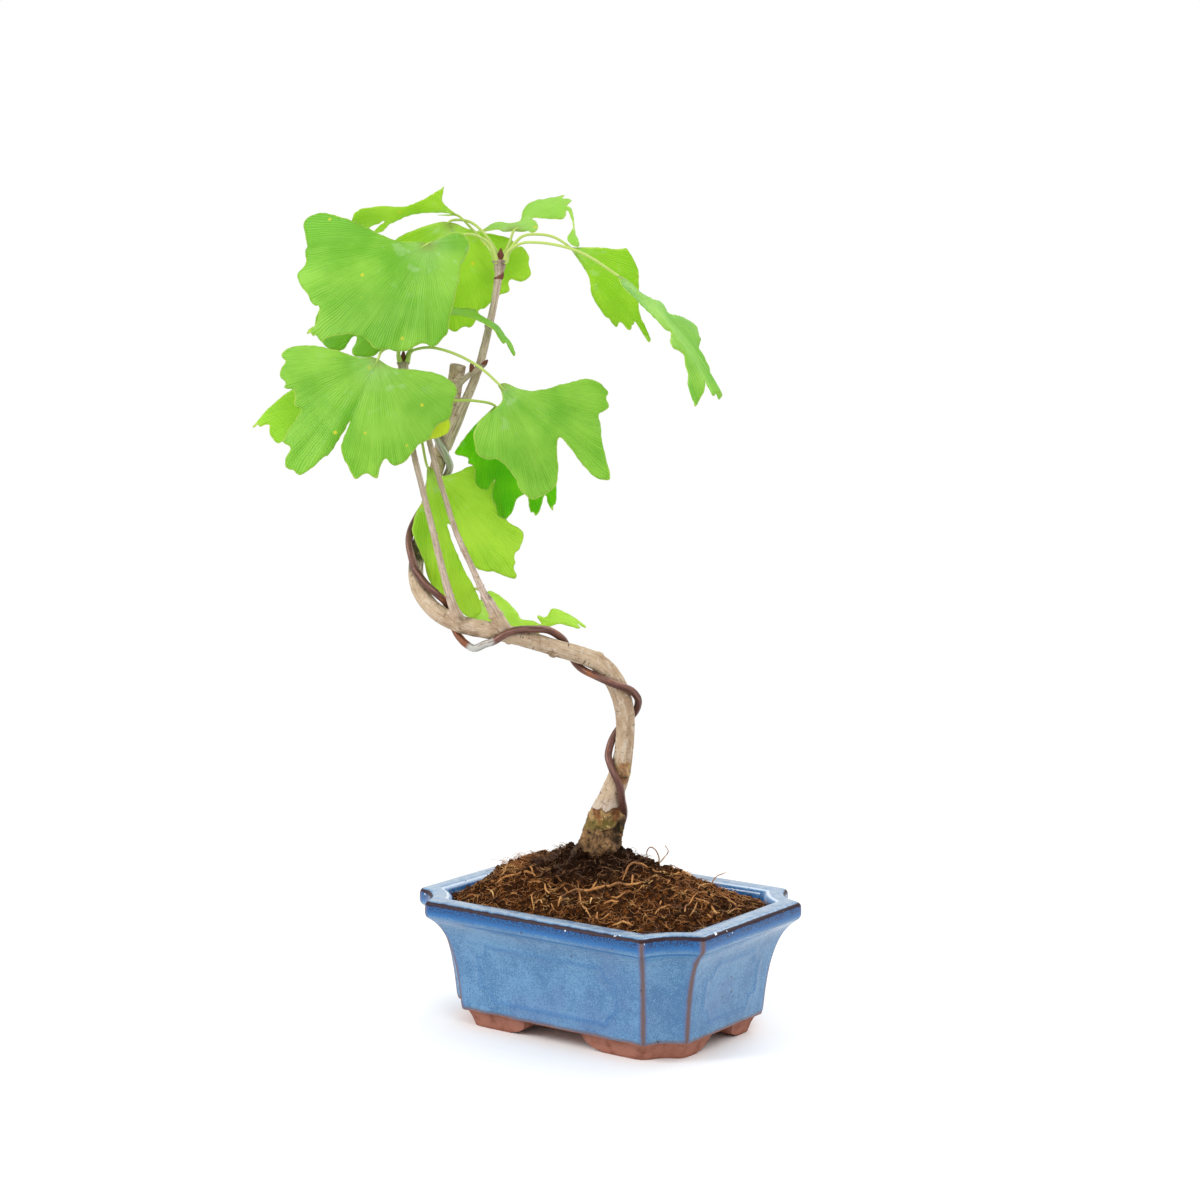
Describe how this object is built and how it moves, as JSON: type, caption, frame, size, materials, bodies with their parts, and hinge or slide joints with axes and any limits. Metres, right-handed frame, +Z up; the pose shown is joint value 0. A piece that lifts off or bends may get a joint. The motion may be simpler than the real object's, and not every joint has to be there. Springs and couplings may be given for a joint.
{
  "type": "ginkgo bonsai",
  "caption": "Young ginkgo trained as a bonsai: wired S-shaped trunk and twigs with fan-shaped leaves, planted in a glazed oblong pot with scooped corners and bracket feet.",
  "frame": {"origin": "on the floor, under the middle of the whole plant's bounding box", "axes": "+Z up; +X along the pot's long side, towards the twig-free side of the tree; -Y out of the pot's front long side"},
  "size_m": [0.1966, 0.1534, 0.3595],
  "materials": {
    "glaze": "glossy blue glaze breaking brown on its edges, over unglazed terracotta feet",
    "peat": "loose moist peat and coir, matte",
    "bark": "smooth young bark, matte",
    "wire": "brown anodised, scraped bright in places",
    "mesh": "matte",
    "leaf_green": "satin leaf, top side",
    "leaf_deep": "satin leaf, shaded",
    "leaf_bright": "satin leaf, light shining through"
  },
  "bodies": {
    "root": {"pot": "glaze", "soil": "peat", "drain_mesh_left": "mesh", "drain_mesh_right": "mesh", "trunk": "bark", "training_wire": "wire", "leaf_crown_front": "leaf_green", "leaf_left_front": "leaf_green", "leaf_right_front": "leaf_green", "leaf_right_back": "leaf_deep", "leaf_crown_back": "leaf_bright", "leaf_right_hang": "leaf_bright", "leaf_far_right": "leaf_bright", "leaf_low_front": "leaf_bright", "leaf_crown_left": "leaf_bright", "leaf_crown_right": "leaf_green", "leaf_inner_small": "leaf_green", "leaf_inner_left": "leaf_green", "leaf_low_left": "leaf_bright", "leaf_low_small": "leaf_green", "leaf_low_back": "leaf_bright"}
  },
  "joints": []
}
